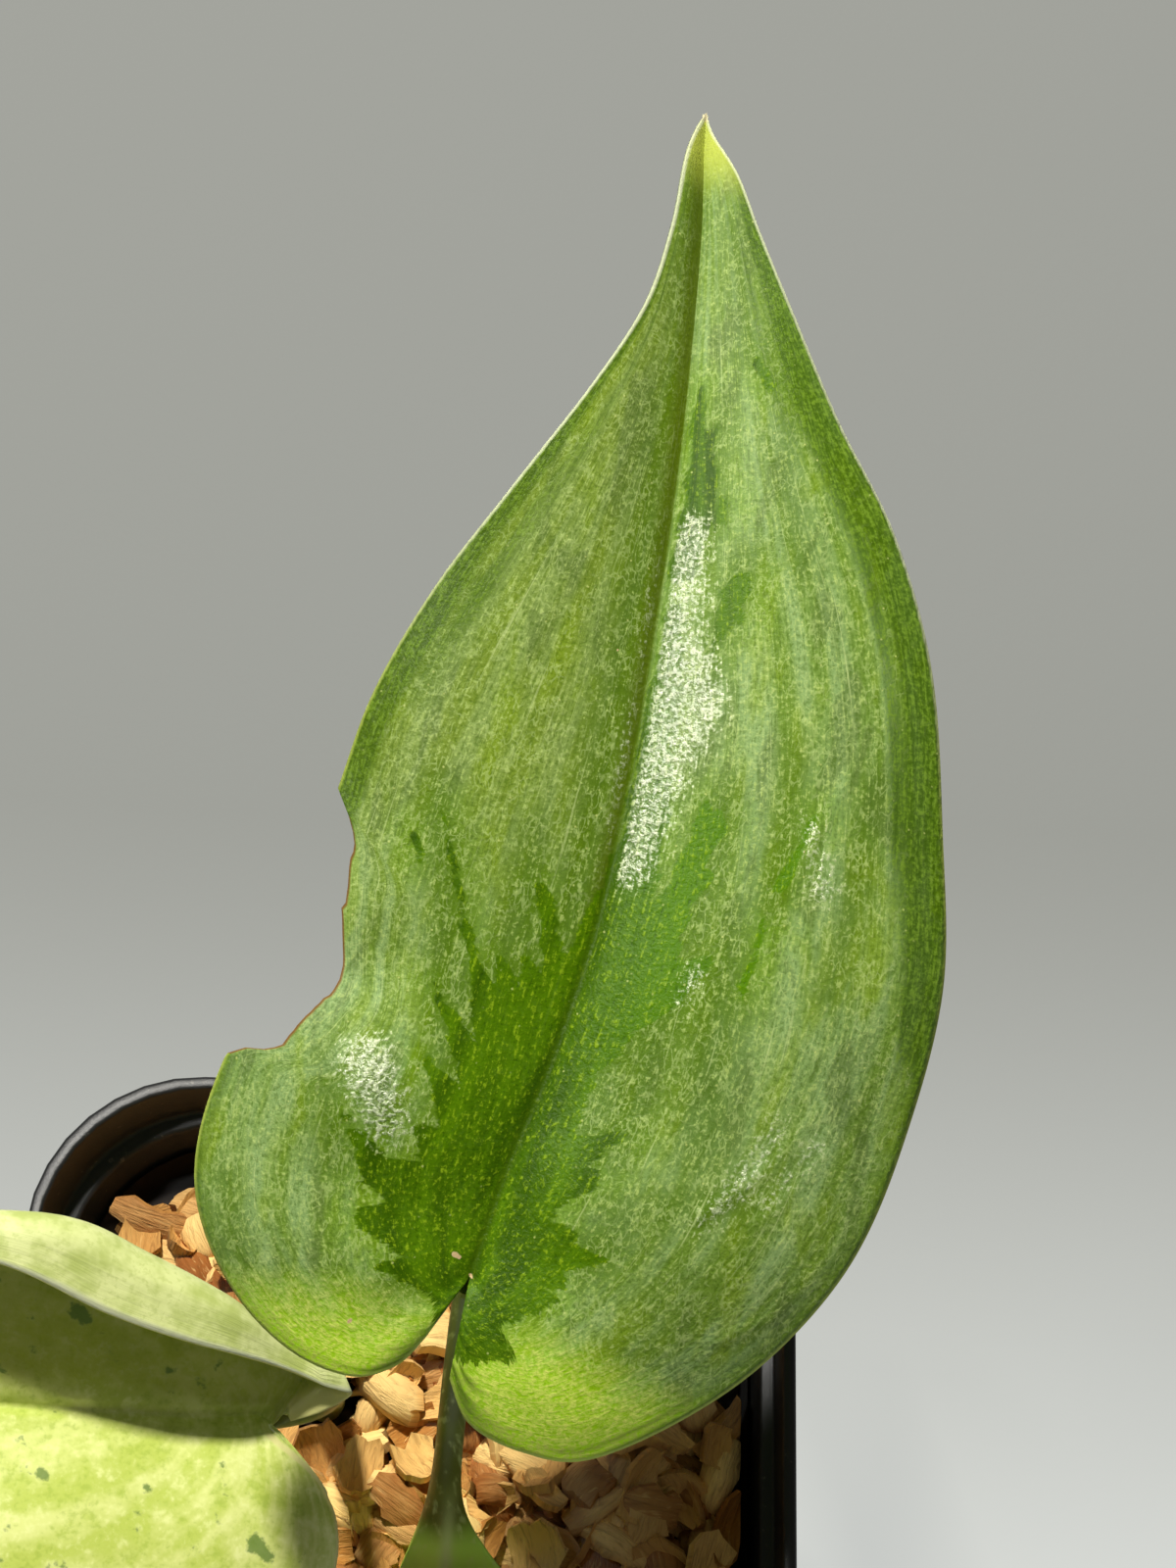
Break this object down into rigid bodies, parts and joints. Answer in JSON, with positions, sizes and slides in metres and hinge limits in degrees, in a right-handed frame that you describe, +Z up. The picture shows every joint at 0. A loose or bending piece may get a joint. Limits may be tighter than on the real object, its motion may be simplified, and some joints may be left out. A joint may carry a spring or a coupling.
{
  "type": "potted aroid house plant",
  "caption": "Young potted aroid with two heart-shaped variegated leaves on slender stalks, rooted in chip mix in a square nursery pot.",
  "frame": {"origin": "middle of the pot's base, on the surface it stands on", "axes": "+Z up along the pot's axis; the upper leaf leans back towards +Y, the side leaf reaches out to -X"},
  "size_m": [0.1479, 0.1568, 0.1745],
  "materials": {
    "pot": "black moulded plastic with a faint sheen",
    "potting_mix": "dry curled husk and bark chips",
    "stem": "fleshy green-brown stem with pale roots",
    "stalk": "smooth waxy green stalk",
    "upper_leaf": "glossy fleshy leaf, silvery sage with dark green feathering",
    "side_leaf": "satin pale yellow-green leaf with fine green flecks"
  },
  "bodies": {
    "root": {"pot": "pot", "potting_mix": "potting_mix", "stem": "stem", "upper_petiole": "stalk", "upper_blade": "upper_leaf", "side_petiole": "stalk", "side_blade": "side_leaf"}
  },
  "joints": []
}
